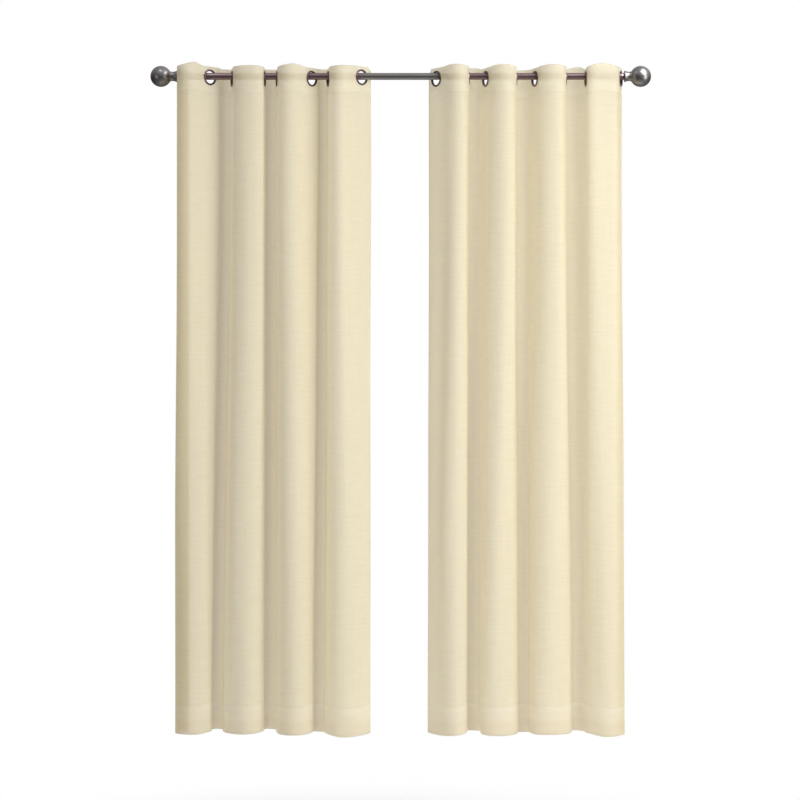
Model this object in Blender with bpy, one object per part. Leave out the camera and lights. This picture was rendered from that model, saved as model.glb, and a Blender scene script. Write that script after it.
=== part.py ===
# Pair of sheer eyelet curtains hanging from a round rod with ball finials.
# Metres, +Z up. The origin is the middle of the rod's axis. The room side faces -Y and the wall side +Y.

import math

import bmesh
import bpy
import numpy as np

# Cloth, as cut and hemmed
CURTAIN_LENGTH = 2.134
CURTAIN_WIDTH = 1.372
CLOTH_THICKNESS = 0.0015
HEADING_DEPTH = 0.085
HEM_DEPTH = 0.090
CLOTH_ABOVE_EYELET = 0.0385
SIDE_STRIP = 0.058  # from the last eyelet to the side edge

# Eyelets
EYELET_COUNT = 8
EYELET_BORE = 0.0200
EYELET_RADIUS = 0.0255
EYELET_BARREL = 0.0010
EYELET_GRIP = 0.0023  # room for the cloth between the flanges
EYELET_SIDES = 16
BORE_EDGE = 0.0022  # from the cloth's middle to each edge of the bore
# A domed flange from its bore to its rim: distances from the cloth's middle and radii.
EYELET_FACE = (
    (BORE_EDGE, EYELET_BORE),
    (0.0033, 0.0211),
    (0.0040, 0.0232),
    (0.0032, 0.0248),
    (EYELET_GRIP / 2, EYELET_RADIUS),
)
HOLE_RADIUS = 0.0232  # corner radius of the eight-sided hole that the flanges hide

# Rod and finials
ROD_RADIUS = 0.011
ROD_WALL = 0.001
ROD_HALF_LENGTH = 0.7157
ROD_SIDES = 24
HANG_GAP = 0.0011  # between the rod and the bores of the eyelets that hang on it
FINIAL_START = 0.716
SPIGOT_RADIUS = 0.0096
SPIGOT_LENGTH = 0.025
BALL_RADIUS = 0.0335
BALL_CENTRE = 0.0525  # from the finial's start to the middle of the ball
BALL_JOIN_ANGLE = 32  # degrees round the ball from the rod's axis to where the neck meets it
BALL_STEPS = 9
# Collar and neck: distances from the finial's start and radii.
NECK_PROFILE = (
    (0.0, 0.0172),
    (0.0008, 0.0180),
    (0.0035, 0.0180),
    (0.0060, 0.0164),
    (0.0100, 0.0154),
    (0.0145, 0.0148),
    (0.0200, 0.0154),
)

# How the folds are drawn
PITCH = (CURTAIN_WIDTH - 2 * SIDE_STRIP) / (EYELET_COUNT - 1)
HEAD_FLAT = 0.027  # the cloth is straight this far to each side of an eyelet
FOOT_FLAT = 0.010
BEND_STEPS = 7
BEND_POINTS = 48  # how finely a bend is worked out before the mesh picks its columns from it
BEND_TRIES = 40
BEND_NUDGE = 15  # degrees that a try may change a bend by
STRIP_STEPS = 3
STRIP_POINTS = 8
BODY_ROWS = 6
TOP_DIP = 0.004  # how far the top edge dips at the eyelets
LIFT_FADE = 0.9  # a fold that is lifted at the rod has lost that lift this far down
SHARP_ANGLE = 50

# Each row of these tables is an eyelet, where the cloth passes the rod. x is in metres. The angle, in degrees,
# is the cloth's direction as it runs to the right, seen from above: 0 along the rod, positive towards the room
# and negative towards the wall. The foot columns say where the same line of cloth is at the bottom edge, and
# how much higher than a level hem.
EYELET_COLUMNS = ("head_x", "head_angle", "foot_x", "foot_angle", "foot_lift")
LEFT_EYELETS = (
    (-0.7085, 100, -0.7180, 102, 0.0025),
    (-0.6114, -44, -0.6107, -78, 0.0000),
    (-0.5394, 80, -0.5658, 72, 0.0035),
    (-0.4374, -88, -0.4438, -78, 0.0045),
    (-0.3956, 84, -0.3956, 76, 0.0000),
    (-0.2858, -51, -0.2865, -72, 0.0000),
    (-0.2316, 81, -0.2384, 70, -0.0020),
    (-0.1257, -44, -0.1118, -62, -0.0095),
)
RIGHT_EYELETS = (
    (0.1144, 54, 0.1029, 60, -0.0035),
    (0.2141, -96, 0.2127, -84, 0.0035),
    (0.2727, 70, 0.2570, 86, -0.0010),
    (0.3668, -95, 0.3716, -68, -0.0020),
    (0.4303, 71, 0.4181, 74, -0.0010),
    (0.5252, -95, 0.5449, -72, 0.0015),
    (0.5940, 89, 0.5979, 72, 0.0000),
    (0.7040, -76, 0.7160, -82, -0.0020),
)
# Each row of these tables is a fold between two eyelets: how much higher than the rest it sits at the top and
# at the bottom, in metres, and which share of its width the rise peaks at.
FOLD_COLUMNS = ("head_lift", "peak", "foot_lift")
LEFT_FOLDS = (
    (0.0058, 0.68, -0.0022),
    (-0.0005, 0.50, -0.0022),
    (-0.0025, 0.50, -0.0015),
    (0.0020, 0.50, -0.0002),
    (0.0020, 0.58, 0.0000),
    (0.0025, 0.50, -0.0060),
    (-0.0060, 0.45, -0.0038),
)
RIGHT_FOLDS = (
    (0.0008, 0.45, -0.0010),
    (0.0060, 0.50, -0.0042),
    (0.0000, 0.45, -0.0005),
    (-0.0010, 0.50, -0.0065),
    (0.0000, 0.43, 0.0008),
    (0.0085, 0.60, -0.0042),
    (0.0050, 0.50, -0.0040),
)
# Each row of these tables is a side edge: the angle that the cloth turns to there, and how far its top corner
# droops, in metres.
EDGE_COLUMNS = ("angle", "droop")
LEFT_EDGES = ((170, 0.002), (-95, 0.016))
RIGHT_EDGES = ((95, 0.034), (-150, 0.016))


def clear_scene():
    for obj in list(bpy.data.objects):
        bpy.data.objects.remove(obj)


def make_material(name, colour, roughness, metallic=0.0, alpha=1.0):
    material = bpy.data.materials.new(name)
    material.use_nodes = True
    shader = material.node_tree.nodes["Principled BSDF"]
    shader.inputs["Base Color"].default_value = (*colour, 1.0)
    shader.inputs["Roughness"].default_value = roughness
    shader.inputs["Metallic"].default_value = metallic
    shader.inputs["Alpha"].default_value = alpha
    return material


def add_object(name, bm, material):
    mesh = bpy.data.meshes.new(name)
    bm.to_mesh(mesh)
    bm.free()
    mesh.materials.append(material)
    obj = bpy.data.objects.new(name, mesh)
    bpy.context.scene.collection.objects.link(obj)
    return obj


def smooth(obj):
    obj.data.shade_smooth()
    obj.data.set_sharp_from_angle(angle=math.radians(SHARP_ANGLE))


def turned_mesh(profile, axis, sides, closed):
    """A solid turned round an axis, from (distance along the axis, radius) points. A closed profile makes a ring."""
    bm = bmesh.new()
    across = (0.0, 0.0, 1.0)
    verts = [
        bm.verts.new([along * a + radius * c for a, c in zip(axis, across)])
        for along, radius in profile
    ]
    pairs = list(zip(verts, verts[1:]))
    if closed:
        pairs.append((verts[-1], verts[0]))
    edges = [bm.edges.new(pair) for pair in pairs]
    bmesh.ops.spin(
        bm,
        geom=verts + edges,
        cent=(0.0, 0.0, 0.0),
        axis=axis,
        angle=2 * math.pi,
        steps=sides,
        use_merge=True,
    )
    bmesh.ops.remove_doubles(bm, verts=bm.verts, dist=1e-6)
    bmesh.ops.recalc_face_normals(bm, faces=bm.faces)
    return bm


def ease(share):
    """0 to 1 with a soft start and end."""
    return share * share * (3 - 2 * share)


def direction(angle):
    """The unit vector (along the rod, towards the room) of a fold angle, or of a list of them, in degrees."""
    turn = np.radians(angle)
    return np.stack([np.cos(turn), np.sin(turn)], axis=-1)


def swayed(start, start_angle, end_angle, arc, sway):
    """Points along a stretch of cloth whose direction turns evenly between its ends but for two smooth sways."""
    share = (np.arange(BEND_POINTS) + 0.5) / BEND_POINTS
    angle = start_angle + (end_angle - start_angle) * share
    angle += sway[0] * np.sin(math.pi * share) + sway[1] * np.sin(2 * math.pi * share)
    steps = np.cumsum(direction(angle) * arc / BEND_POINTS, axis=0)
    return start + np.concatenate([np.zeros((1, 2)), steps])


def bend(start, start_angle, end, end_angle, arc):
    """The free stretch between two eyelets: as long as the cloth there, and swayed so that it ends in its place."""
    sway = np.zeros(2)
    for _ in range(BEND_TRIES):
        miss = swayed(start, start_angle, end_angle, arc, sway)[-1] - end
        slopes = [
            swayed(start, start_angle, end_angle, arc, sway + nudge)[-1] - end - miss
            for nudge in np.eye(2)
        ]
        sway -= np.clip(np.linalg.solve(np.array(slopes).T, miss), -BEND_NUDGE, BEND_NUDGE)
    return swayed(start, start_angle, end_angle, arc, sway)


def side_strip(start, start_angle, edge_angle, flat, side):
    """The cloth beyond the last eyelet: straight in the flat, then turning to the edge's angle. side is -1 or 1."""
    turns = np.linspace(start_angle, edge_angle, STRIP_POINTS + 1)
    step = (SIDE_STRIP - flat) / STRIP_POINTS
    points = [start + side * flat * direction(start_angle)]
    for angle in turns[1:]:
        points.append(points[-1] + side * step * direction(angle))
    return np.array(points)


def plan_line(eyelets, edges, fall):
    """The cloth's line seen from above at one height: fall is 0 in the heading and 1 at the bottom edge.
    Gives the run along the cloth from the first eyelet, the place along the rod and the distance before it."""
    share = ease(fall)
    places, angles = [], []
    for row in eyelets:
        spot = dict(zip(EYELET_COLUMNS, row))
        x = spot["head_x"] + share * (spot["foot_x"] - spot["head_x"])
        places.append(np.array([x, 0.0]))
        angles.append(spot["head_angle"] + share * (spot["foot_angle"] - spot["head_angle"]))
    flat = HEAD_FLAT + share * (FOOT_FLAT - HEAD_FLAT)
    edge_angles = [dict(zip(EDGE_COLUMNS, row))["angle"] for row in edges]
    points = [side_strip(places[0], angles[0], edge_angles[0], flat, -1)[::-1]]
    for i in range(EYELET_COUNT - 1):
        start = places[i] + flat * direction(angles[i])
        end = places[i + 1] - flat * direction(angles[i + 1])
        points.append(bend(start, angles[i], end, angles[i + 1], PITCH - 2 * flat))
    points.append(side_strip(places[-1], angles[-1], edge_angles[1], flat, 1))
    line = np.concatenate(points)
    run = np.concatenate([[0.0], np.cumsum(np.linalg.norm(np.diff(line, axis=0), axis=1))])
    return run - SIDE_STRIP, line[:, 0], line[:, 1]


def hang_drop(angle):
    """How far an eyelet's centre hangs below the rod's axis: its bore rests on the rod,
    at the top where it stands across the rod and at both sides where it is turned."""
    turned = math.radians(abs(90 - abs(angle)))
    rod = ROD_RADIUS + HANG_GAP
    wide = EYELET_BORE * math.cos(turned) - BORE_EDGE * math.sin(turned)
    if EYELET_BORE - rod >= (EYELET_BORE**2 - wide**2) / EYELET_BORE:
        return EYELET_BORE - rod
    return math.sqrt((1 - (rod / wide) ** 2) * (EYELET_BORE**2 - wide**2))


def eyelet_run(i):
    return i * PITCH


def cloth_columns():
    """Runs along the cloth where the mesh has a column of points."""
    corner = HOLE_RADIUS * math.sqrt(0.5)
    last = eyelet_run(EYELET_COUNT - 1)
    columns = list(np.linspace(-SIDE_STRIP, -HEAD_FLAT, STRIP_STEPS + 1)[:-1])
    for i in range(EYELET_COUNT):
        at = eyelet_run(i)
        columns += [at - HEAD_FLAT, at - corner, at, at + corner, at + HEAD_FLAT]
        if i < EYELET_COUNT - 1:
            bend_runs = np.linspace(at + HEAD_FLAT, eyelet_run(i + 1) - HEAD_FLAT, BEND_STEPS + 1)
            columns += list(bend_runs[1:-1])
    columns += list(np.linspace(last + HEAD_FLAT, last + SIDE_STRIP, STRIP_STEPS + 1)[1:])
    return np.array(columns)


def cloth_rows():
    """Distances below the eyelets' centres where the mesh has a row of points."""
    corner = HOLE_RADIUS * math.sqrt(0.5)
    heading_end = HEADING_DEPTH - CLOTH_ABOVE_EYELET
    bottom = CURTAIN_LENGTH - CLOTH_ABOVE_EYELET
    head = [-CLOTH_ABOVE_EYELET, -HEAD_FLAT, -corner, 0.0, corner, HEAD_FLAT]
    body = np.linspace(heading_end, bottom - HEM_DEPTH, BODY_ROWS)
    return np.array(head + list(body) + [bottom])


def rise(eyelets, folds, edges, run, down):
    """The height that a point of cloth gains: each eyelet's drop under the rod and its lift at the hem, the droop
    of the top corners, the lift of each fold, and the dips of the top edge between them."""
    knots, drops, foot_lifts = [], [], []
    for i, row in enumerate(eyelets):
        spot = dict(zip(EYELET_COLUMNS, row))
        knots += [eyelet_run(i) - HEAD_FLAT, eyelet_run(i) + HEAD_FLAT]
        drops += [hang_drop(spot["head_angle"])] * 2
        foot_lifts += [spot["foot_lift"]] * 2
    near_top = ease(1 - min(1.0, max(0.0, down) / LIFT_FADE))
    near_foot = ease(min(1.0, max(0.0, down) / (CURTAIN_LENGTH - CLOTH_ABOVE_EYELET)))
    height = near_foot * np.interp(run, knots, foot_lifts) - np.interp(run, knots, drops)
    for row, beyond in zip(edges, (-run, run - eyelet_run(EYELET_COUNT - 1))):
        droop = dict(zip(EDGE_COLUMNS, row))["droop"]
        height -= near_top * droop * max(0.0, beyond - HEAD_FLAT) / (SIDE_STRIP - HEAD_FLAT)
    swell = 0.0
    for i, row in enumerate(folds):
        fold = dict(zip(FOLD_COLUMNS, row))
        across = (run - eyelet_run(i) - HEAD_FLAT) / (PITCH - 2 * HEAD_FLAT)
        if 0 < across < 1:
            swell = math.sin(math.pi * across ** (math.log(0.5) / math.log(fold["peak"]))) ** 2
            height += swell * (near_top * fold["head_lift"] + near_foot * fold["foot_lift"])
    above_flat = max(0.0, -down - HEAD_FLAT) / (CLOTH_ABOVE_EYELET - HEAD_FLAT)
    return height - TOP_DIP * (1 - swell) * above_flat


def on_hole(offset, corner):
    """Moves a point beside an eyelet's centre line out onto the hole's eight-sided edge."""
    return math.copysign(HOLE_RADIUS, offset) if abs(abs(offset) - corner) < 1e-9 else offset


def curtain(name, eyelets, folds, edges, material):
    columns, rows = cloth_columns(), cloth_rows()
    corner = HOLE_RADIUS * math.sqrt(0.5)
    heading_end = HEADING_DEPTH - CLOTH_ABOVE_EYELET
    bottom = rows[-1]
    centres = [eyelet_run(i) for i in range(EYELET_COUNT)]
    bm = bmesh.new()
    grid = {}
    for r, down in enumerate(rows):
        fall = max(0.0, (down - heading_end) / (bottom - heading_end))
        run_line, x_line, front_line = plan_line(eyelets, edges, fall)
        for c, run in enumerate(columns):
            centre = min(centres, key=lambda at: abs(run - at))
            point_run, point_down = run, down
            if down == 0.0:
                point_run = centre + on_hole(run - centre, corner)
            elif run == centre:
                point_down = on_hole(down, corner)
            if down == 0.0 and run == centre:
                continue
            x = np.interp(point_run, run_line, x_line)
            front = np.interp(point_run, run_line, front_line)
            z = rise(eyelets, folds, edges, point_run, point_down) - point_down
            grid[r, c] = bm.verts.new((x, -front, z))
    for r in range(len(rows) - 1):
        for c in range(len(columns) - 1):
            ring = [(r, c), (r + 1, c), (r + 1, c + 1), (r, c + 1)]
            if all(key in grid for key in ring):
                bm.faces.new([grid[key] for key in ring])
    obj = add_object(name, bm, material)
    smooth(obj)
    thick = obj.modifiers.new("cloth thickness", "SOLIDIFY")
    thick.thickness = CLOTH_THICKNESS
    thick.offset = 0.0
    thick.use_even_offset = True
    return obj


def eyelet(name, x, angle, material):
    """Two domed rings joined by a barrel, gripping the cloth round its hole."""
    barrel = EYELET_BORE + EYELET_BARREL
    half = [*EYELET_FACE, (EYELET_GRIP / 2, barrel)]
    profile = half + [(-along, radius) for along, radius in half[::-1]]
    obj = add_object(name, turned_mesh(profile, (0.0, 1.0, 0.0), EYELET_SIDES, True), material)
    smooth(obj)
    obj.location = (x, 0.0, -hang_drop(angle))
    obj.rotation_euler = (0.0, 0.0, -math.radians(angle))
    return obj


def rod(material):
    profile = [
        (-ROD_HALF_LENGTH, ROD_RADIUS - ROD_WALL),
        (-ROD_HALF_LENGTH, ROD_RADIUS),
        (ROD_HALF_LENGTH, ROD_RADIUS),
        (ROD_HALF_LENGTH, ROD_RADIUS - ROD_WALL),
    ]
    obj = add_object("rod", turned_mesh(profile, (1.0, 0.0, 0.0), ROD_SIDES, True), material)
    smooth(obj)
    return obj


def finial(name, side, material):
    """A ball on a waisted neck and a collar, with a spigot that plugs into the rod."""
    profile = [(-SPIGOT_LENGTH, 0.0), (-SPIGOT_LENGTH, SPIGOT_RADIUS), (0.0, SPIGOT_RADIUS), *NECK_PROFILE]
    for turn in np.linspace(math.radians(BALL_JOIN_ANGLE), math.pi, BALL_STEPS + 1)[:-1]:
        profile.append((BALL_CENTRE - BALL_RADIUS * math.cos(turn), BALL_RADIUS * math.sin(turn)))
    profile.append((BALL_CENTRE + BALL_RADIUS, 0.0))
    obj = add_object(name, turned_mesh(profile, (1.0, 0.0, 0.0), ROD_SIDES, False), material)
    smooth(obj)
    obj.location = (side * FINIAL_START, 0.0, 0.0)
    obj.rotation_euler = (0.0, 0.0, 0.0 if side > 0 else math.pi)
    return obj


def main():
    clear_scene()
    voile = make_material("cream_voile", (0.80, 0.73, 0.54), 0.85, alpha=0.8)
    dark_nickel = make_material("dark_nickel", (0.20, 0.15, 0.15), 0.35, metallic=1.0)
    nickel = make_material("brushed_nickel", (0.42, 0.40, 0.39), 0.35, metallic=1.0)
    pairs = (
        ("left", LEFT_EYELETS, LEFT_FOLDS, LEFT_EDGES),
        ("right", RIGHT_EYELETS, RIGHT_FOLDS, RIGHT_EDGES),
    )
    for side, eyelets, folds, edges in pairs:
        curtain(f"curtain_{side}", eyelets, folds, edges, voile)
        for i, row in enumerate(eyelets):
            spot = dict(zip(EYELET_COLUMNS, row))
            eyelet(f"eyelet_{side}_{i + 1}", spot["head_x"], spot["head_angle"], dark_nickel)
    rod(nickel)
    finial("finial_left", -1, nickel)
    finial("finial_right", 1, nickel)


main()
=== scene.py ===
# Looks of a pair of sheer cream eyelet curtains that hang from a pewter-grey rod with ball finials.
# Metres, +Z up. The origin is the middle of the rod's axis, and the curtains' front faces -Y.
import math

import bpy
import numpy as np
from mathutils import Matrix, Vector


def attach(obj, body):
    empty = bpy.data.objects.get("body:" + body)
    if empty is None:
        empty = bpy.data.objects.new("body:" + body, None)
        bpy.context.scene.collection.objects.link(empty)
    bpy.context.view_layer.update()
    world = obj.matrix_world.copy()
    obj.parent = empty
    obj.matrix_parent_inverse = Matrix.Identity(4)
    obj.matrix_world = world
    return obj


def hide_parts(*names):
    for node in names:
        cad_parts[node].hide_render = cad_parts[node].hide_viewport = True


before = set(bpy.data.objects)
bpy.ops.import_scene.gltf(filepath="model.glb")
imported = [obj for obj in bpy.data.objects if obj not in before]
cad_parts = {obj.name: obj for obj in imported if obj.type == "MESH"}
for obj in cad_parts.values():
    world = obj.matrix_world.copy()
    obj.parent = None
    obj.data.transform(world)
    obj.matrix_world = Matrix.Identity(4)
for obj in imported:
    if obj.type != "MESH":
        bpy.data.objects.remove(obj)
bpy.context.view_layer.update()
print("frame loaded:", len(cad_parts), "nodes")


view = {
    "pixels": 800,
    "metresPerPixel": 0.003204,  # at the rod
    "middleColumn": 400.75,  # column of x = 0
    "rodRow": 76.4,  # row of z = 0
    "distance": 7.5,
    "sensor": 36.0,
    "farthest": 60,
}
# A span holds two values of a direction's height or side part: -1 is straight down or left, 1 is up or right.
studio = {
    "skyLight": 0.48,  # soft light from above
    "groundLight": 0.36,  # and from below
    "lightSpan": (-0.5, 0.5),  # between these heights one turns into the other
    "metalSky": 0.66,  # what the metal mirrors from above
    "metalHorizon": 0.06,  # level
    "metalGround": 0.28,  # and from below
    "metalGroundSpan": (-0.8, -0.15),
    "metalSkySpan": (-0.15, 0.65),
    "metalLeft": 0.60,  # multiplied by this at the left
    "metalRight": 1.40,  # and by this at the right
    "metalSideSpan": (-0.9, 0.9),
    "backdrop": 1.0,  # how bright the surround looks itself
    "floorHeight": -2.60,
    "floorRadius": 2.2,
    "floorClear": 0.5,  # the floor fades out from here to its rim
    "floorSides": 96,
    "floorTone": "#f7f6f4",
    "floorRoughness": 0.7,
    "floorSpecular": 0.2,
    "aim": (0.0, 0.0, -1.0),
}
# place, size and power of each soft lamp, and whether it lights the cloth and shows in the metal
lamps = {
    "sideLight": ((3.6, -2.2, -0.7), (1.4, 2.6), 60, True, True),
    "nearLight": ((1.5, -2.2, -0.35), (1.0, 2.6), 56, True, False),
    "rearLight": ((2.6, 3.2, -0.3), (2.0, 2.6), 78, True, False),
    "rightMetalLight": ((1.40, -0.9, 0.9), (0.9, 1.2), 36, False, True),
    "leftTopMetalLight": ((-0.80, -0.75, 1.28), (0.35, 0.20), 2.4, False, True),
    "leftLowMetalLight": ((-1.83, -1.03, -0.27), (0.30, 0.30), 1.4, False, True),
}


def makeCamera():
    camera = bpy.data.objects.new("photoCamera", bpy.data.cameras.new("photoCamera"))
    bpy.context.scene.collection.objects.link(camera)
    half = view["pixels"] / 2
    right = (half - view["middleColumn"]) * view["metresPerPixel"]
    up = (view["rodRow"] - half) * view["metresPerPixel"]
    camera.location = (right, -view["distance"], up)
    camera.rotation_euler = (math.radians(90), 0, 0)
    camera.data.sensor_width = view["sensor"]
    camera.data.lens = view["sensor"] * view["distance"] / (view["pixels"] * view["metresPerPixel"])
    camera.data.clip_end = view["farthest"]
    bpy.context.scene.camera = camera


def addNode(tree, kind, inputs=None, **settings):
    # inputs names or numbers sockets, and gives each a value or another node's output
    node = tree.nodes.new("ShaderNode" + kind)
    for name, value in settings.items():
        setattr(node, name, value)
    for name, value in (inputs or {}).items():
        if isinstance(value, bpy.types.NodeSocket):
            tree.links.new(value, node.inputs[name])
        else:
            node.inputs[name].default_value = value
    return node


def hexColour(code):
    # sRGB hex to linear, with a full alpha
    channels = [int(code[i : i + 2], 16) / 255 for i in (1, 3, 5)]
    return (*[c / 12.92 if c <= 0.04045 else ((c + 0.055) / 1.055) ** 2.4 for c in channels], 1.0)


def newMaterial(name):
    material = bpy.data.materials.new(name)
    material.use_nodes = True
    material.node_tree.nodes.clear()
    return material, material.node_tree


def newObject(name, points, faces, material):
    mesh = bpy.data.meshes.new(name)
    mesh.from_pydata([tuple(point) for point in points], [], faces)
    mesh.materials.append(material)
    made = bpy.data.objects.new(name, mesh)
    bpy.context.scene.collection.objects.link(made)
    return made


def lampAt(name, place, size, power, onCloth, inMetal):
    light = bpy.data.lights.new(name, "AREA")
    light.shape = "RECTANGLE"
    light.size, light.size_y = size
    light.energy = power
    lamp = bpy.data.objects.new(name, light)
    lamp.location = place
    lamp.visible_camera = False
    lamp.visible_diffuse = lamp.visible_transmission = onCloth
    lamp.visible_glossy = inMetal
    lamp.rotation_euler = (Vector(studio["aim"]) - Vector(place)).to_track_quat("-Z", "Y").to_euler()
    bpy.context.scene.collection.objects.link(lamp)


def makeStudio():
    world = bpy.data.worlds.new("softSurround")
    bpy.context.scene.world = world
    world.use_nodes = True
    tree = world.node_tree
    tree.nodes.clear()
    way = addNode(tree, "SeparateXYZ", {"Vector": addNode(tree, "TexCoord").outputs["Generated"]})
    rays = addNode(tree, "LightPath")

    def between(value, span, start, end):
        # runs from start to end while the value crosses the span
        return addNode(tree, "MapRange", {
            "Value": value, "From Min": span[0], "From Max": span[1], "To Min": start, "To Max": end,
        }).outputs["Result"]

    height, side = way.outputs["Z"], way.outputs["X"]
    soft = between(height, studio["lightSpan"], studio["groundLight"], studio["skyLight"])
    level = addNode(tree, "Math", {
        0: between(height, studio["metalGroundSpan"], studio["metalGround"], studio["metalHorizon"]),
        1: between(height, studio["metalSkySpan"], studio["metalHorizon"], studio["metalSky"]),
    }, operation="MAXIMUM").outputs["Value"]
    aside = between(side, studio["metalSideSpan"], studio["metalLeft"], studio["metalRight"])
    mirrored = addNode(tree, "Math", {0: level, 1: aside}, operation="MULTIPLY").outputs["Value"]
    shining = between(rays.outputs["Is Glossy Ray"], (0, 1), soft, mirrored)
    strength = between(rays.outputs["Is Camera Ray"], (0, 1), shining, studio["backdrop"])
    glow = addNode(tree, "Background", {"Color": (1, 1, 1, 1), "Strength": strength})
    addNode(tree, "OutputWorld", {"Surface": glow.outputs["Background"]})
    bpy.context.scene.view_settings.view_transform = "Standard"
    for name, setting in lamps.items():
        lampAt(name, *setting)


def makeFloor():
    # a round pale floor, painted matt, that fades out before its rim
    material, tree = newMaterial("paleFloorPaint")
    place = addNode(tree, "TexCoord").outputs["Object"]
    far = addNode(tree, "VectorMath", {0: place}, operation="LENGTH").outputs["Value"]
    fade = addNode(tree, "MapRange", {
        "Value": far, "From Min": studio["floorClear"], "From Max": studio["floorRadius"],
        "To Min": 1, "To Max": 0,
    }, interpolation_type="SMOOTHSTEP").outputs["Result"]
    paint = addNode(tree, "BsdfPrincipled", {
        "Base Color": hexColour(studio["floorTone"]), "Roughness": studio["floorRoughness"],
        "Specular IOR Level": studio["floorSpecular"], "Alpha": fade,
    })
    addNode(tree, "OutputMaterial", {"Surface": paint.outputs["BSDF"]})
    sides, radius = studio["floorSides"], studio["floorRadius"]
    turns = [2 * math.pi * i / sides for i in range(sides)]
    points = [(radius * math.cos(t), radius * math.sin(t), 0.0) for t in turns]
    floor = newObject("floor", points, [list(range(sides))], material)
    floor.location = (0, 0, studio["floorHeight"])


makeCamera()
makeStudio()
makeFloor()
print("camera, light and floor made")


cloth = {
    "length": 2.134,
    "width": 1.372,
    "heading": 0.085,
    "hem": 0.090,
    "aboveEyelet": 0.0385,
    "sideStrip": 0.058,  # from the last eyelet to the side edge
    "eyelets": 8,
    "headFlat": 0.027,  # straight to each side of an eyelet
    "footFlat": 0.010,
    "topDip": 0.004,  # of the top edge at the eyelets
    "liftFade": 0.9,  # the folds' lift at the head is gone this far down
    "hole": 0.0222,
    # folded hems
    "sideHem": 0.022,
    "hemTurn": 0.016,
    "headingTurn": 0.010,
    "frontAt": -0.0004,  # the front layer lies this far before the cloth's middle
    "sideHemAt": -0.00005,
    "turnAt": 0.0003,
    "backAt": 0.0007,
    "pastSide": 0.00018,  # how far the fold at a side edge reaches past it
    "pastEdge": 0.00035,  # and the one at the top or bottom edge
    # how finely it is drawn
    "bendPoints": 64,
    "bendTries": 14,
    "bendMiss": 1e-6,
    "bendStep": 15,  # degrees that one try changes a sway by at most
    "bendCells": 26,
    "holeCells": 8,
    "stripBends": 16,
    "stripCells": 5,
    "besideCells": 2,  # between a side hem and the straight stretch at the eyelet
    "headRows": 3,
    "bodyRows": 80,
    "footRows": 9,
    "turnRows": 3,
    "slopeStep": 0.0015,  # to each side, where the cloth's direction is taken
    "slack": 1e-6,
}
pitch = (cloth["width"] - 2 * cloth["sideStrip"]) / (cloth["eyelets"] - 1)
headingEnd = cloth["heading"] - cloth["aboveEyelet"]
bottomEdge = cloth["length"] - cloth["aboveEyelet"]
hemTop = bottomEdge - cloth["hem"]

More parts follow.
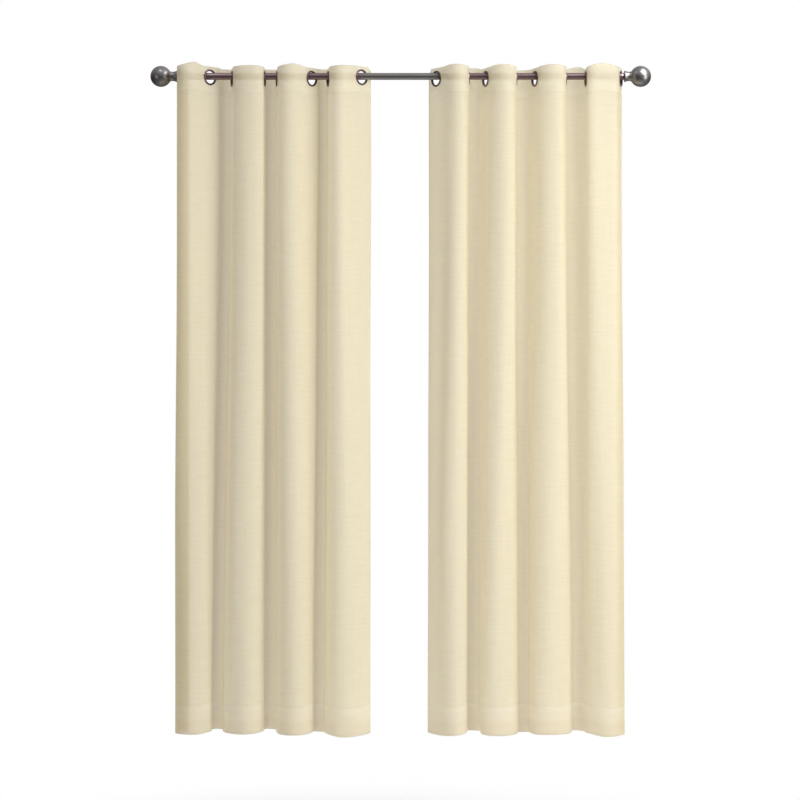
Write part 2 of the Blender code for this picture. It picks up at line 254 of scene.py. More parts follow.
# One row for each eyelet: its place along the rod and the cloth's direction there, at the head and at the
# foot, and its lift at the foot. 0 degrees runs along the rod to the right, positive turns towards the room.
# One row for each fold: its lift at the head, the share of its width where it peaks, its lift at the foot.
# One row for each side edge: the direction that it turns to, and how far its top corner droops.
# One row for each crease: run along the cloth, width, height, and how far down it starts and ends.
curtains = {
    "left": {
        "eyelets": (
            (-0.7085, 100, -0.7180, 102, 0.0025),
            (-0.6114, -44, -0.6107, -78, 0.0000),
            (-0.5394, 80, -0.5658, 72, 0.0035),
            (-0.4374, -88, -0.4438, -78, 0.0045),
            (-0.3956, 84, -0.3956, 76, 0.0000),
            (-0.2858, -51, -0.2865, -72, 0.0000),
            (-0.2316, 81, -0.2384, 70, -0.0020),
            (-0.1257, -44, -0.1118, -62, -0.0095),
        ),
        "folds": (
            (0.0058, 0.68, -0.0022),
            (-0.0005, 0.50, -0.0022),
            (-0.0025, 0.50, -0.0015),
            (0.0020, 0.50, -0.0002),
            (0.0020, 0.58, 0.0000),
            (0.0025, 0.50, -0.0060),
            (-0.0060, 0.45, -0.0038),
        ),
        "edges": ((170, 0.002), (-95, 0.016)),
        "creases": (
            (0.052, 0.016, 0.0016, 0.10, 1.70),
            (0.118, 0.020, -0.0014, 0.25, 2.10),
            (0.236, 0.014, 0.0012, 0.15, 1.20),
            (0.415, 0.018, 0.0015, 0.30, 1.95),
            (0.470, 0.014, -0.0012, 0.10, 1.05),
            (0.610, 0.016, 0.0012, 0.60, 2.10),
            (0.770, 0.020, 0.0016, 0.12, 1.60),
            (0.905, 0.014, -0.0012, 0.20, 1.40),
            (1.128, 0.018, 0.0016, 0.35, 2.00),
            (1.185, 0.016, -0.0014, 0.10, 1.30),
        ),
        "swaySeed": 0.7,
    },
    "right": {
        "eyelets": (
            (0.1144, 54, 0.1029, 60, -0.0035),
            (0.2141, -96, 0.2127, -84, 0.0035),
            (0.2727, 70, 0.2570, 86, -0.0010),
            (0.3668, -95, 0.3716, -68, -0.0020),
            (0.4303, 71, 0.4181, 74, -0.0010),
            (0.5252, -95, 0.5449, -72, 0.0015),
            (0.5940, 89, 0.5979, 72, 0.0000),
            (0.7040, -76, 0.7160, -82, -0.0020),
        ),
        "folds": (
            (0.0008, 0.45, -0.0010),
            (0.0060, 0.50, -0.0042),
            (0.0000, 0.45, -0.0005),
            (-0.0010, 0.50, -0.0065),
            (0.0000, 0.43, 0.0008),
            (0.0085, 0.60, -0.0042),
            (0.0050, 0.50, -0.0040),
        ),
        "edges": ((95, 0.034), (-150, 0.016)),
        "creases": (
            (0.066, 0.018, 0.0015, 0.20, 1.85),
            (0.130, 0.014, -0.0012, 0.10, 1.20),
            (0.262, 0.016, 0.0014, 0.50, 2.05),
            (0.402, 0.018, 0.0015, 0.12, 1.50),
            (0.470, 0.014, -0.0012, 0.60, 2.10),
            (0.640, 0.016, 0.0012, 0.15, 1.30),
            (0.748, 0.020, -0.0014, 0.30, 2.00),
            (0.830, 0.014, 0.0013, 0.12, 1.10),
            (1.096, 0.018, 0.0015, 0.25, 1.75),
            (1.170, 0.016, -0.0014, 0.80, 2.10),
        ),
        "swaySeed": 2.9,
    },
}
rod = {
    "radius": 0.011,
    "wall": 0.001,
    "halfLength": 0.7157,
    "chamfer": 0.0003,
    "hangGap": 0.0011,  # between it and the eyelets that hang on it
    "sides": 72,
    "cells": 40,
    "cellsInside": 4,
    "endCell": 0.01,
}
ring = {
    "bore": 0.0200,
    "boreEdge": 0.0022,  # how far the bore's edge stands from the cloth's middle
    "crest": (0.0040, 0.0232),  # the flange's crest, from the cloth's middle and from the ring's axis
    "radius": 0.0255,
    "barrel": 0.0010,
    "grip": 0.0023,  # between the two flanges
    "domePower": 1.3,  # over 1, the dome rises slowly from the bore
    "domeSteps": 8,
    "sides": 72,
}


def ease(share):
    return share * share * (3 - 2 * share)


def smoothStep(low, high, value):
    return ease(np.clip((value - low) / (high - low), 0.0, 1.0))


def evenly(start, end, cells):
    return list(np.linspace(start, end, cells + 1))


def direction(angle):
    turn = np.radians(angle)
    return np.stack([np.cos(turn), np.sin(turn)], axis=-1)


def swayed(start, startAngle, endAngle, arc, sway):
    # a stretch of cloth whose direction turns evenly from end to end but for two smooth sways
    share = (np.arange(cloth["bendPoints"]) + 0.5) / cloth["bendPoints"]
    angle = startAngle + (endAngle - startAngle) * share
    angle = angle + sway[0] * np.sin(math.pi * share) + sway[1] * np.sin(2 * math.pi * share)
    steps = np.cumsum(direction(angle) * arc / cloth["bendPoints"], axis=0)
    return start + np.concatenate([np.zeros((1, 2)), steps])


def bend(start, startAngle, end, endAngle, arc, sway):
    # sways the stretch until it ends where the next eyelet is. sway is a first guess, changed in place.
    for _ in range(cloth["bendTries"]):
        miss = swayed(start, startAngle, endAngle, arc, sway)[-1] - end
        if np.abs(miss).max() < cloth["bendMiss"]:
            break
        slopes = [swayed(start, startAngle, endAngle, arc, sway + nudge)[-1] - end - miss
                  for nudge in np.eye(2)]
        sway -= np.clip(np.linalg.solve(np.array(slopes).T, miss), -cloth["bendStep"], cloth["bendStep"])
    return swayed(start, startAngle, endAngle, arc, sway)


def sideStrip(start, startAngle, edgeAngle, flat, side):
    step = (cloth["sideStrip"] - flat) / cloth["stripBends"]
    points = [start + side * flat * direction(startAngle)]
    for angle in evenly(startAngle, edgeAngle, cloth["stripBends"])[1:]:
        points.append(points[-1] + side * step * direction(angle))
    return np.array(points)


def planLine(panel, fall, sways):
    # the cloth's line from above at one height: fall is 0 in the heading and 1 at the bottom edge
    share = ease(fall)
    rows = panel["eyelets"]
    places = [np.array([head + share * (foot - head), 0.0]) for head, _, foot, _, _ in rows]
    angles = [head + share * (foot - head) for _, head, _, foot, _ in rows]
    flat = cloth["headFlat"] + share * (cloth["footFlat"] - cloth["headFlat"])
    (leftEdge, _), (rightEdge, _) = panel["edges"]
    points = [sideStrip(places[0], angles[0], leftEdge, flat, -1)[::-1]]
    for i in range(cloth["eyelets"] - 1):
        start = places[i] + flat * direction(angles[i])
        end = places[i + 1] - flat * direction(angles[i + 1])
        points.append(bend(start, angles[i], end, angles[i + 1], pitch - 2 * flat, sways[i]))
    points.append(sideStrip(places[-1], angles[-1], rightEdge, flat, 1))
    line = np.concatenate(points)
    run = np.concatenate([[0.0], np.cumsum(np.linalg.norm(np.diff(line, axis=0), axis=1))])
    return run - cloth["sideStrip"], line[:, 0], line[:, 1]


def hangDrop(angle):
    # how far an eyelet's centre hangs below the rod's axis, with its bore resting on the rod
    turned = math.radians(90 - abs(angle))
    reach = rod["radius"] + rod["hangGap"]
    wide = ring["bore"] * math.cos(turned) - ring["boreEdge"] * abs(math.sin(turned))
    if ring["bore"] - reach >= (ring["bore"] ** 2 - wide**2) / ring["bore"]:
        return ring["bore"] - reach
    return math.sqrt((1 - (reach / wide) ** 2) * (ring["bore"] ** 2 - wide**2))


def rise(panel, run, down):
    # the height that the cloth gains there: the eyelets' drop and foot lift, the corners' droop, the folds'
    # lift and the dips of the top edge between them
    knots, drops, footLifts = [], [], []
    for i, (_, angle, _, _, footLift) in enumerate(panel["eyelets"]):
        knots += [i * pitch - cloth["headFlat"], i * pitch + cloth["headFlat"]]
        drops += [hangDrop(angle)] * 2
        footLifts += [footLift] * 2
    nearTop = ease(1 - np.clip(down / cloth["liftFade"], 0, 1))
    nearFoot = ease(np.clip(down / bottomEdge, 0, 1))
    height = nearFoot * np.interp(run, knots, footLifts) - np.interp(run, knots, drops)
    strip = cloth["sideStrip"] - cloth["headFlat"]
    for (_, droop), beyond in zip(panel["edges"], (-run, run - (cloth["eyelets"] - 1) * pitch)):
        height = height - nearTop * droop * np.maximum(0, beyond - cloth["headFlat"]) / strip
    swells = 0.0
    for i, (headLift, peak, footLift) in enumerate(panel["folds"]):
        across = np.clip((run - i * pitch - cloth["headFlat"]) / (pitch - 2 * cloth["headFlat"]), 0, 1)
        swell = np.sin(math.pi * across ** (math.log(0.5) / math.log(peak))) ** 2
        height = height + swell * (nearTop * headLift + nearFoot * footLift)
        swells = swells + swell
    aboveFlat = np.maximum(0.0, -down - cloth["headFlat"]) / (cloth["aboveEyelet"] - cloth["headFlat"])
    return height - cloth["topDip"] * (1 - swells) * aboveFlat


ripple = {
    "starts": (0.02, 0.25),  # below the heading: where creases begin to show, and where they are full
    "broad": 0.0008,
    "broadWaves": (41, 5.3, 7),  # radians a metre: along the cloth, down it and aslant
    "fine": 0.0006,
    "fineWaves": (67, 3.1),
    "creaseFade": 0.35,  # the length that a crease takes to begin or end
    "creaseStray": 0.006,
    "creaseWaves": (2.3, 9),  # radians a metre: down the crease and by its place
}


def relief(panel, run, down):
    # soft creases from the panel's list, and a slow sway that no two folds share
    seed, fade = panel["swaySeed"], ripple["creaseFade"]
    along, downward, aslant = ripple["broadWaves"]
    out = ripple["broad"] * np.sin(run * along + seed) * np.sin(down * downward + run * aslant + seed)
    along, downward = ripple["fineWaves"]
    out = out + ripple["fine"] * np.sin(run * along + down * downward + 2 * seed)
    downward, byPlace = ripple["creaseWaves"]
    for at, width, height, start, end in panel["creases"]:
        across = (run - at - ripple["creaseStray"] * np.sin(down * downward + at * byPlace)) / width
        share = smoothStep(start, start + fade, down) * (1 - smoothStep(end - fade, end, down))
        out = out + height * share * np.exp(-across * across)
    begin, full = ripple["starts"]
    return out * smoothStep(headingEnd + begin, headingEnd + full, down)


class Hanging:
    # the hung cloth of one panel: where each point of the flat cloth is in the room.
    # A line from above is worked out once for each height and kept, as a guess for the next one too.
    def __init__(self, panel):
        self.panel = panel
        self.lines = {}
        self.sways = [np.zeros(2) for _ in range(cloth["eyelets"] - 1)]

    def line(self, down):
        fall = round(max(0.0, (min(down, bottomEdge) - headingEnd) / (bottomEdge - headingEnd)), 5)
        if fall not in self.lines:
            self.lines[fall] = planLine(self.panel, fall, self.sways)
        return self.lines[fall]

    def points(self, run, down, depth):
        # run and depth are arrays, down one number. depth is measured towards the cloth's back.
        runs, along, front = self.line(down)
        x, y = np.interp(run, runs, along), np.interp(run, runs, front)
        after = np.minimum(run + cloth["slopeStep"], runs[-1])
        before = np.maximum(run - cloth["slopeStep"], runs[0])
        dx = np.interp(after, runs, along) - np.interp(before, runs, along)
        dy = np.interp(after, runs, front) - np.interp(before, runs, front)
        size = np.hypot(dx, dy)
        out = relief(self.panel, run, down) - depth
        x, y = x - out * dy / size, y + out * dx / size
        # past a folded side edge the cloth goes on for a hair's breadth
        past = run - np.clip(run, runs[0], runs[-1])
        x, y = x + past * dx / size, y + past * dy / size
        z = rise(self.panel, run, down) - down
        return np.stack([x, -y, z], axis=-1)

    def point(self, run, down, depth):
        return self.points(np.array([run]), down, np.array([depth]))[0]


def clothColumns():
    # runs and depths across the cloth, with the side hems folded behind it, and which columns are hem
    first, last = -cloth["sideStrip"], (cloth["eyelets"] - 1) * pitch + cloth["sideStrip"]
    flat, sideHem, past = cloth["headFlat"], cloth["sideHem"], cloth["pastSide"]
    hemAt, frontAt = cloth["sideHemAt"], cloth["frontAt"]
    middle = (hemAt + frontAt) / 2
    main = evenly(first, first + sideHem, cloth["stripCells"])[:-1]
    main += evenly(first + sideHem, -flat, cloth["besideCells"])[:-1]
    for i in range(cloth["eyelets"]):
        main += evenly(i * pitch - flat, i * pitch + flat, cloth["holeCells"])
        if i < cloth["eyelets"] - 1:
            main += evenly(i * pitch + flat, (i + 1) * pitch - flat, cloth["bendCells"])[1:-1]
    main += evenly(last - cloth["sideStrip"] + flat, last - sideHem, cloth["besideCells"])[1:]
    main += evenly(last - sideHem, last, cloth["stripCells"])[1:]
    hem = evenly(sideHem, 0, cloth["stripCells"])
    left = [(first + h, hemAt, True) for h in hem] + [(first - past, middle, True)]
    right = [(last + past, middle, True)] + [(last - h, hemAt, True) for h in hem[::-1]]
    return left + [(run, frontAt, False) for run in main] + right


def clothRows():
    # distances down and depths, from the heading's turned-in edge over the top edge to the hem's turned-in
    # edge, and which rows are the front layer
    top, back, turn, frontAt = -cloth["aboveEyelet"], cloth["backAt"], cloth["turnAt"], cloth["frontAt"]
    flat, past = cloth["headFlat"], cloth["pastEdge"]
    head = [top, (top - flat) / 2] + evenly(-flat, flat, cloth["holeCells"])
    head += evenly(flat, headingEnd, cloth["headRows"])[1:]
    body = evenly(headingEnd, hemTop, cloth["bodyRows"])[1:]
    foot = evenly(hemTop, bottomEdge, cloth["footRows"])[1:]
    rows = [(headingEnd - h, turn, False) for h in evenly(cloth["headingTurn"], 0, cloth["turnRows"])]
    rows += [(headingEnd + past / 2, (turn + back) / 2, False)]
    rows += [(down, back, False) for down in head[::-1]]
    rows += [(top - past, (back + frontAt) / 2, False)]
    rows += [(down, frontAt, True) for down in head + body + foot]
    rows += [(bottomEdge + past, (back + frontAt) / 2, False)]
    rows += [(down, back, False) for down in ([hemTop] + foot)[::-1]]
    rows += [(hemTop - past / 2, (turn + back) / 2, False)]
    rows += [(hemTop + h, turn, False) for h in evenly(0, cloth["hemTurn"], cloth["turnRows"])]
    return rows


def makeVoile(name, side, material):
    hanging = Hanging(curtains[side])
    columns, rows = clothColumns(), clothRows()
    runs = np.array([c[0] for c in columns])
    depths = np.array([c[1] for c in columns])
    isHem = np.array([c[2] for c in columns])
    centres = np.arange(cloth["eyelets"]) * pitch
    points, flatPlaces, faces, index = [], [], [], {}
    face, folded, turnedIn = voileLook["coverage"]
    for r, (down, depth, isFront) in enumerate(rows):
        behind = turnedIn if depth == cloth["turnAt"] else folded
        chosen = np.where(~isHem | isFront)[0]
        rowDepths = depths[chosen] if isFront else np.full(len(chosen), depth)
        for c, place in zip(chosen, hanging.points(runs[chosen], down, rowDepths)):
            index[r, c] = len(points)
            points.append(place)
            flatPlaces.append((runs[c], down, face if isFront and not isHem[c] else behind))
    flat = cloth["headFlat"] + cloth["slack"]
    away = [np.abs(centres - run) for run in runs]
    inHole = [int(a.argmin()) if a.min() < flat and not hem else -1 for a, hem in zip(away, isHem)]
    holeRow = [abs(down) < flat and abs(depth - cloth["turnAt"]) > cloth["slack"] for down, depth, _ in rows]
    for r in range(len(rows) - 1):
        for c in range(len(columns) - 1):
            corners = [(r, c), (r + 1, c), (r + 1, c + 1), (r, c + 1)]
            isOpen = holeRow[r] and holeRow[r + 1] and inHole[c] >= 0 and inHole[c] == inHole[c + 1]
            if not isOpen and all(corner in index for corner in corners):
                faces.append([index[corner] for corner in corners])
    # round holes: rings of points between each square gap in the grid and the hole's edge
    around = 4 * cloth["holeCells"]
    for isFront in (True, False):
        block = [r for r in range(len(rows)) if holeRow[r] and rows[r][2] == isFront]
        depth = rows[block[0]][1]
        for hole in range(cloth["eyelets"]):
            across = [c for c in range(len(columns)) if inHole[c] == hole]
            square = [(block[0], c) for c in across[:-1]] + [(r, across[-1]) for r in block[:-1]]
            square += [(block[-1], c) for c in across[:0:-1]] + [(r, across[0]) for r in block[:0:-1]]
            outer = [index[key] for key in square]
            for share in (0.5, 1.0):
                inner = []
                for r, c in square:
                    offset = np.array([runs[c] - centres[hole], rows[r][0]])
                    offset = offset + share * (offset / np.linalg.norm(offset) * cloth["hole"] - offset)
                    run, down = centres[hole] + offset[0], offset[1]
                    inner.append(len(points))
                    points.append(hanging.point(run, down, depth))
                    flatPlaces.append((run, down, face if isFront else folded))
                for i in range(around):
                    j = (i + 1) % around
                    faces.append([outer[i], inner[i], inner[j], outer[j]][:: 1 if isFront else -1])
                outer = inner
    piece = newObject(name, points, faces, material)
    marks = piece.data.attributes.new("flatCloth", "FLOAT_VECTOR", "POINT")
    marks.data.foreach_set("vector", np.array(flatPlaces).ravel())
    piece.data.shade_smooth()
    piece.data.update()
    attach(piece, "root")
    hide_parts(f"curtain_{side}")
    print(name, "has", len(faces), "faces")
    return piece, hanging


stitch = {
    "length": 0.0024,
    "pitch": 0.0032,
    "radius": 0.00022,
    "lifts": (0.2, 1.2, 0.2),  # radii that its start, middle and end stand off the cloth
    "taper": (0.6, 1.0, 0.6),  # and radii that they are thick
    "probe": 0.001,  # how far into the cloth its direction outwards is taken
    "headingRows": (0.0425, 0.0360),  # distances below the eyelets' centres
    "hemRow": 0.0025,  # below the hem's top edge
    "sideRow": 0.0200,  # in from the side edge
    "levelEnds": 0.003,  # level rows stop this far before the side edges
    "sideTop": -0.034,  # the side rows start here, above the eyelets' centres
    "sideFoot": 0.004,  # and stop this far above the bottom edge
}


def makeStitching(name, hanging, material):
    first, last = -cloth["sideStrip"], (cloth["eyelets"] - 1) * pitch + cloth["sideStrip"]
    levelRuns = np.arange(first + stitch["levelEnds"], last - stitch["levelEnds"], stitch["pitch"])
    levelRows = (*stitch["headingRows"], hemTop + stitch["hemRow"])
    sideDowns = np.arange(stitch["sideTop"], bottomEdge - stitch["sideFoot"], stitch["pitch"])
    sideRows = (first + stitch["sideRow"], last - stitch["sideRow"])
    starts = [(run, down, True) for down in levelRows for run in levelRuns]
    starts += [(run, down, False) for run in sideRows for down in sideDowns]
    points, faces = [], []
    for run, down, isLevel in starts:
        knots = []
        for part, lift in zip((0.0, 0.5, 1.0), stitch["lifts"]):
            atRun = run + (part * stitch["length"] if isLevel else 0)
            atDown = down + (0 if isLevel else part * stitch["length"])
            knots.append((atRun, round(atDown, 4), cloth["frontAt"] - stitch["radius"] * lift))
        middles = [hanging.point(*knot) for knot in knots]
        midRun, midDown, midDepth = knots[1]
        out = middles[1] - hanging.point(midRun, midDown, midDepth + stitch["probe"])
        out /= np.linalg.norm(out)
        along = middles[2] - middles[0]
        along /= np.linalg.norm(along)
        across = np.cross(along, out)
        base = len(points)
        for middle, taper in zip(middles, stitch["taper"]):
            thick = stitch["radius"] * taper
            for t in (math.pi / 4, 3 * math.pi / 4, 5 * math.pi / 4, 7 * math.pi / 4):
                points.append(middle + thick * (math.cos(t) * out + math.sin(t) * across))
        for low in (base, base + 4):
            for i in range(4):
                j = (i + 1) % 4
                faces.append([low + i, low + j, low + 4 + j, low + 4 + i])
        faces += [[base + i for i in (3, 2, 1, 0)], [base + i for i in (8, 9, 10, 11)]]
    piece = newObject(name, points, faces, material)
    piece.data.shade_smooth()
    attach(piece, "root")
    print(name, "has", len(faces), "faces")
    return piece


finial = {
    "start": 0.716,
    "spigotRadius": 0.0096,
    "spigotLength": 0.025,
    "spigotChamfer": 0.0008,
    "ballRadius": 0.0335,
    "ballCentre": 0.0525,  # from the finial's start
    "joinAngle": 32,  # degrees round the ball to where the neck meets it
    "ballSteps": 44,
    "sides": 96,
}
# collar and neck: distances from the finial's start and radii
neckProfile = (
    (0.0000, 0.0168),
    (0.0002, 0.0175),
    (0.0009, 0.0180),
    (0.0022, 0.0181),
    (0.0034, 0.0179),
    (0.0040, 0.0172),
    (0.0048, 0.0168),
    (0.0060, 0.0163),
    (0.0080, 0.0157),
    (0.0105, 0.0152),
    (0.0130, 0.01485),
    (0.0155, 0.0148),
    (0.0180, 0.0150),
    (0.0205, 0.0155),
    (0.0222, 0.0163),
)


sharpAngle = 50  # degrees between two faces, from which their edge shows


def turnedPiece(name, profile, sides, isRing, material, turn):
    # goes round an axis from (along, radius) points. turn takes a point's distance along the axis and its two
    # distances across it, and gives its place in the room.
    points, faces, rows = [], [], []
    for along, radius in profile:
        if radius == 0:
            rows.append([len(points)] * sides)
            points.append(turn(along, 0.0, 0.0))
            continue
        rows.append(list(range(len(points), len(points) + sides)))
        for i in range(sides):
            t = 2 * math.pi * i / sides
            points.append(turn(along, radius * math.cos(t), radius * math.sin(t)))
    for low, high in list(zip(rows, rows[1:])) + ([(rows[-1], rows[0])] if isRing else []):
        for i in range(sides):
            j = (i + 1) % sides
            faces.append(list(dict.fromkeys([low[i], low[j], high[j], high[i]])))
    piece = newObject(name, points, faces, material)
    piece.data.shade_smooth()
    piece.data.set_sharp_from_angle(angle=math.radians(sharpAngle))
    piece.data.update()
    return piece


def makeRing(name, node, x, angle, material):
    # two domed flanges joined by a barrel: each rises from the bore to its crest and falls to the cloth
    inner, barrel, rim = ring["grip"] / 2, ring["bore"] + ring["barrel"], ring["radius"]
    high, crest = ring["crest"]
    quarter = evenly(0, math.pi / 2, ring["domeSteps"])
    half = []
    for t in quarter:
        rising = ring["boreEdge"] + (high - ring["boreEdge"]) * math.sin(t) ** ring["domePower"]
        half.append((rising, crest - (crest - ring["bore"]) * math.cos(t)))
    for t in quarter[1:]:
        half.append((inner + (high - inner) * math.cos(t), crest + (rim - crest) * math.sin(t)))
    half.append((inner, barrel))
    profile = half + [(-along, radius) for along, radius in half[::-1]]
    turn = -math.radians(angle)
    cosTurn, sinTurn, low = math.cos(turn), math.sin(turn), -hangDrop(angle)
    piece = turnedPiece(
        name, profile, ring["sides"], True, material,
        lambda a, u, v: (x + u * cosTurn - a * sinTurn, u * sinTurn + a * cosTurn, v + low),
    )
    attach(piece, "root")
    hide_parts(node)
    return piece


def makeRod(material):
    inside, outside, cut = rod["radius"] - rod["wall"], rod["radius"], rod["chamfer"]
    end, nearEnd = rod["halfLength"], rod["halfLength"] - rod["endCell"]
    profile = [(-end, inside), (-end, outside - cut), (-end + cut, outside)]
    profile += [(a, outside) for a in evenly(-nearEnd, nearEnd, rod["cells"])]
    profile += [(end - cut, outside), (end, outside - cut), (end, inside)]
    profile += [(a, inside) for a in evenly(nearEnd, -nearEnd, rod["cellsInside"])]
    piece = turnedPiece("curtainRod", profile, rod["sides"], True, material, lambda a, u, v: (float(a), u, v))
    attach(piece, "root")
    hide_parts("rod")


def makeFinial(side, material):
    sign = -1 if side == "left" else 1
    plug, long, cut = finial["spigotRadius"], finial["spigotLength"], finial["spigotChamfer"]
    profile = [(-long, 0.0), (-long, plug - cut), (-long + cut, plug), (0.0, plug), *neckProfile]
    for t in evenly(math.radians(finial["joinAngle"]), math.pi, finial["ballSteps"])[:-1]:
        along = finial["ballCentre"] - finial["ballRadius"] * math.cos(t)
        profile.append((along, finial["ballRadius"] * math.sin(t)))
    profile.append((finial["ballCentre"] + finial["ballRadius"], 0.0))
    piece = turnedPiece(
        f"ballFinial.{side}", profile, finial["sides"], False, material,
        lambda a, u, v: (sign * (finial["start"] + a), sign * u, v),
    )
    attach(piece, "root")
    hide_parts(f"finial_{side}")


voileLook = {
    "thick": "#ece2c4",  # where a yarn is thick
    "thin": "#e6dbba",
    # painted light: the heading and the hem are painted paler, palest over the hem's turned-in edge
    "heading": "#efe6ca",
    "hem": "#ede3c8",
    "paintedPaleHemSeam": "#f0e7ce",  # over the hem's turned-in edge
    # painted shade: the hem's foot is painted browner
    "paintedShadeHemFoot": "#e9ddbf",
    # share that yarn fills in the face, and in folded and turned-in layers, which are drawn thinner, as the
    # hems hardly show darker
    "coverage": (0.87, 0.18, 0.04),
    "through": 0.42,  # share of the light that yarn passes on
    # the real yarns are 0.15 mm thick, so they are drawn coarser, to show as the slubs that do
    "weft": (0.060, 0.0024),  # length and pitch
    "warp": (0.140, 0.0022),
    "slub": (0.090, 0.0050),
    "slubShare": 1.2,
    "unevenness": 0.55,
    "wovenSpan": (1.1, 2.1),  # from thin to thick
    "bump": 0.22,
    "bumpHeight": 0.0002,
    "roughness": 0.78,
    "specular": 0.18,
    "sheen": 0.45,
    "sheenRoughness": 0.35,
    "sheenTint": (1.0, 0.97, 0.9, 1.0),
}
# Painted light: the doubled heading and hem are painted paler than the cloth, most of all where the hem's
# edge is turned in, and the hem's foot is painted browner, as painted shade. Each band has its start and how
# soft that edge is. A negative softness fills the cloth above it.
paintedLightAndShadeBands = {
    "heading": (headingEnd, -0.0015),
    "paintedPaleHemSeam": (hemTop, 0.0015),
    "hem": (hemTop + cloth["hemTurn"], 0.012),
    "paintedShadeHemFoot": (bottomEdge - 0.044, 0.024),
}


def voileMaterial(name):
    # polyester voile, plain weave of uneven yarn: matt, soft at the edges of folds, and light comes through.
    # flatCloth holds the run along the flat cloth, the distance down it, and the share that yarn fills.
    material, tree = newMaterial(name)
    flat = addNode(tree, "Attribute", attribute_name="flatCloth").outputs["Vector"]

    def yarns(size, isLevel, detail):
        long, wide = size
        scale = (1 / long, 1 / wide, 1) if isLevel else (1 / wide, 1 / long, 1)
        place = addNode(tree, "Mapping", {"Vector": flat, "Scale": scale}).outputs["Vector"]
        return addNode(tree, "TexNoise", {
            "Vector": place, "Scale": 1.0, "Detail": detail, "Roughness": voileLook["unevenness"],
        }, noise_dimensions="2D").outputs["Fac"]

    weft = yarns(voileLook["weft"], True, 1.0)
    warp = yarns(voileLook["warp"], False, 1.0)
    slub = yarns(voileLook["slub"], True, 2.0)
    woven = addNode(tree, "Math", {0: weft, 1: warp}, operation="ADD").outputs["Value"]
    woven = addNode(tree, "Math", {0: slub, 1: voileLook["slubShare"], 2: woven},
                    operation="MULTIPLY_ADD").outputs["Value"]
    thin, thick = voileLook["wovenSpan"]
    share = addNode(tree, "MapRange", {"Value": woven, "From Min": thin, "From Max": thick})
    colour = addNode(tree, "Mix", {
        0: share.outputs["Result"], 6: hexColour(voileLook["thin"]), 7: hexColour(voileLook["thick"]),
    }, data_type="RGBA").outputs[2]
    parts = addNode(tree, "SeparateXYZ", {"Vector": flat})
    # paints the paler bands of painted light, and the browner band of painted shade at the hem's foot
    for band, (start, soft) in paintedLightAndShadeBands.items():
        inPaintedBand = addNode(tree, "MapRange", {
            "Value": parts.outputs["Y"], "From Min": start - soft / 2, "From Max": start + soft / 2,
        }, interpolation_type="SMOOTHSTEP").outputs["Result"]
        colour = addNode(tree, "Mix", {
            0: inPaintedBand, 6: colour, 7: hexColour(voileLook[band]),
        }, data_type="RGBA").outputs[2]
    bump = addNode(tree, "Bump", {
        "Height": woven, "Strength": voileLook["bump"], "Distance": voileLook["bumpHeight"],
    }).outputs["Normal"]
    shader = addNode(tree, "BsdfPrincipled", {
        "Base Color": colour, "Roughness": voileLook["roughness"],
        "Specular IOR Level": voileLook["specular"], "Normal": bump, "Sheen Weight": voileLook["sheen"],
        "Sheen Roughness": voileLook["sheenRoughness"], "Sheen Tint": voileLook["sheenTint"],
    }).outputs["BSDF"]
    glow = addNode(tree, "BsdfTranslucent", {"Color": colour, "Normal": bump}).outputs["BSDF"]
    yarn = addNode(tree, "MixShader", {0: voileLook["through"], 1: shader, 2: glow}).outputs["Shader"]
    gaps = addNode(tree, "BsdfTransparent").outputs["BSDF"]
    sheer = addNode(tree, "MixShader", {0: parts.outputs["Z"], 1: gaps, 2: yarn}).outputs["Shader"]
    addNode(tree, "OutputMaterial", {"Surface": sheer})
    return material


threadLook = {
    "colour": "#e8dcbe",
    "shade": "#dccfac",
    "bandPitch": 0.0474,
    "distortion": 1.0,
    "roughness": 0.7,
    "specular": 0.2,
}


def threadMaterial(name):
    # spun polyester thread: matt and slightly uneven in colour. Its real twist is too fine to show at 0.6 mm,
    # so its slanting bands are drawn 47 mm apart. A wave's diagonal bands lie 2 pi / 10 / its scale apart.
    material, tree = newMaterial(name)
    place = addNode(tree, "TexCoord").outputs["Object"]
    twist = addNode(tree, "TexWave", {
        "Vector": place, "Scale": 2 * math.pi / 10 / threadLook["bandPitch"],
        "Distortion": threadLook["distortion"],
    }, bands_direction="DIAGONAL").outputs["Fac"]
    colour = addNode(tree, "Mix", {
        0: twist, 6: hexColour(threadLook["shade"]), 7: hexColour(threadLook["colour"]),
    }, data_type="RGBA").outputs[2]
    shader = addNode(tree, "BsdfPrincipled", {
        "Base Color": colour, "Roughness": threadLook["roughness"],
        "Specular IOR Level": threadLook["specular"],
    })
    addNode(tree, "OutputMaterial", {"Surface": shader.outputs["BSDF"]})
    return material


ringLook = {
    "colour": "#664f54",
    "worn": "#8b7278",
    "wornSpan": (0.4, 0.75),
    "spot": 0.004,
    "roughness": (0.21, 0.34),  # where it is least and most rubbed
}


def ringMaterial(name):
    # pressed steel plated with dark nickel: a polished plum-grey, a little paler where it is rubbed
    material, tree = newMaterial(name)
    place = addNode(tree, "TexCoord").outputs["Object"]
    wear = addNode(tree, "TexNoise", {
        "Vector": place, "Scale": 1 / ringLook["spot"], "Detail": 3.0,
    }).outputs["Fac"]
    new, worn = ringLook["wornSpan"]
    share = addNode(tree, "MapRange", {"Value": wear, "From Min": new, "From Max": worn})
    colour = addNode(tree, "Mix", {
        0: share.outputs["Result"], 6: hexColour(ringLook["colour"]), 7: hexColour(ringLook["worn"]),
    }, data_type="RGBA").outputs[2]
    smooth, rubbed = ringLook["roughness"]
    rough = addNode(tree, "MapRange", {"Value": wear, "To Min": smooth, "To Max": rubbed})
    shader = addNode(tree, "BsdfPrincipled", {
        "Base Color": colour, "Metallic": 1.0, "Roughness": rough.outputs["Result"],
    })
    addNode(tree, "OutputMaterial", {"Surface": shader.outputs["BSDF"]})
    return material


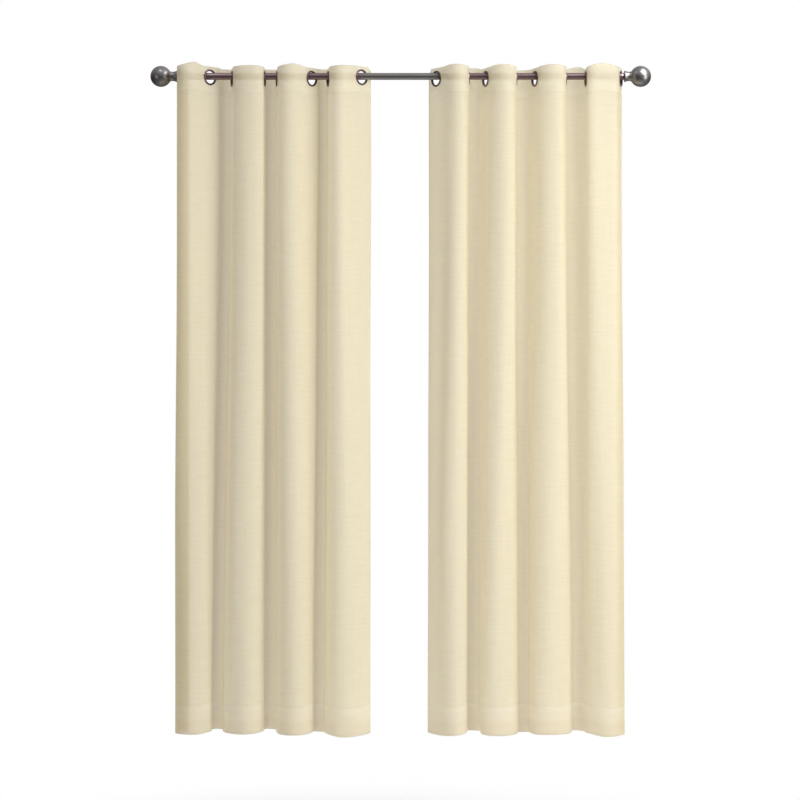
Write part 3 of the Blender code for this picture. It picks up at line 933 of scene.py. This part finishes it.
nickelLook = {
    "colour": "#989594",
    "dull": "#868281",
    "grain": 0.0007,
    "grainLength": 0.035,
    "grainSpan": (0.3, 0.7),  # from dull to clear
    "roughness": (0.30, 0.42),
    "bump": 0.06,
    "bumpHeight": 0.00005,
    # painted reflection: the rod behind the curtains is painted a darker plum, for the eyelets that it
    # mirrors there
    "paintedPlumReflection": "#8d777b",  # the rod behind the folds, where it mirrors the eyelets
    "paintedReflectionFrom": (0.105, 0.155),  # begins at the curtains' inner sides, as distances from the rod's middle
    "paintedReflectionTo": (0.705, 0.715),  # and ends at their outer ones
}


def nickelMaterial(name):
    # drawn steel tube and turned balls in satin nickel: fine lines along the rod, blurred highlights
    material, tree = newMaterial(name)
    place = addNode(tree, "TexCoord").outputs["Object"]
    scale = (1 / nickelLook["grainLength"], 1 / nickelLook["grain"], 1 / nickelLook["grain"])
    along = addNode(tree, "Mapping", {"Vector": place, "Scale": scale}).outputs["Vector"]
    lines = addNode(tree, "TexNoise", {"Vector": along, "Scale": 1.0, "Detail": 2.0}).outputs["Fac"]
    dull, clear = nickelLook["grainSpan"]
    share = addNode(tree, "MapRange", {"Value": lines, "From Min": dull, "From Max": clear})
    colour = addNode(tree, "Mix", {
        0: share.outputs["Result"], 6: hexColour(nickelLook["dull"]), 7: hexColour(nickelLook["colour"]),
    }, data_type="RGBA").outputs[2]
    length = addNode(tree, "SeparateXYZ", {"Vector": place}).outputs["X"]
    out = addNode(tree, "Math", {0: length}, operation="ABSOLUTE").outputs["Value"]

    def crossing(span, start, end):
        return addNode(tree, "MapRange", {
            "Value": out, "From Min": span[0], "From Max": span[1], "To Min": start, "To Max": end,
        }).outputs["Result"]

    # painted reflection: plum painted on the rod from the curtains' inner sides to their outer ones
    behind = addNode(tree, "Math", {
        0: crossing(nickelLook["paintedReflectionFrom"], 0, 1), 1: crossing(nickelLook["paintedReflectionTo"], 1, 0),
    }, operation="MULTIPLY").outputs["Value"]
    colour = addNode(tree, "Mix", {
        0: behind, 6: colour, 7: hexColour(nickelLook["paintedPlumReflection"]),
    }, data_type="RGBA").outputs[2]
    smooth, matt = nickelLook["roughness"]
    rough = addNode(tree, "MapRange", {"Value": lines, "To Min": smooth, "To Max": matt})
    bump = addNode(tree, "Bump", {
        "Height": lines, "Strength": nickelLook["bump"], "Distance": nickelLook["bumpHeight"],
    })
    shader = addNode(tree, "BsdfPrincipled", {
        "Base Color": colour, "Metallic": 1.0, "Roughness": rough.outputs["Result"],
        "Normal": bump.outputs["Normal"],
    })
    addNode(tree, "OutputMaterial", {"Surface": shader.outputs["BSDF"]})
    return material


voile = voileMaterial("polyesterVoileCream")
thread = threadMaterial("spunPolyesterThread")
darkNickel = ringMaterial("platedSteelDarkNickel")
satinNickel = nickelMaterial("satinNickelDrawn")
makeRod(satinNickel)
for side in ("left", "right"):
    makeFinial(side, satinNickel)
print("rod and finials made")
for side, panel in curtains.items():
    sheet, hanging = makeVoile(f"voile.{side}", side, voile)
    stitching = makeStitching(f"stitching.{side}", hanging, thread)
    rings = [
        makeRing(f"eyeletRing.{side}.{i}", f"eyelet_{side}_{i}", x, angle, darkNickel)
        for i, (x, angle, *_) in enumerate(panel["eyelets"], 1)
    ]
print("curtains hung")
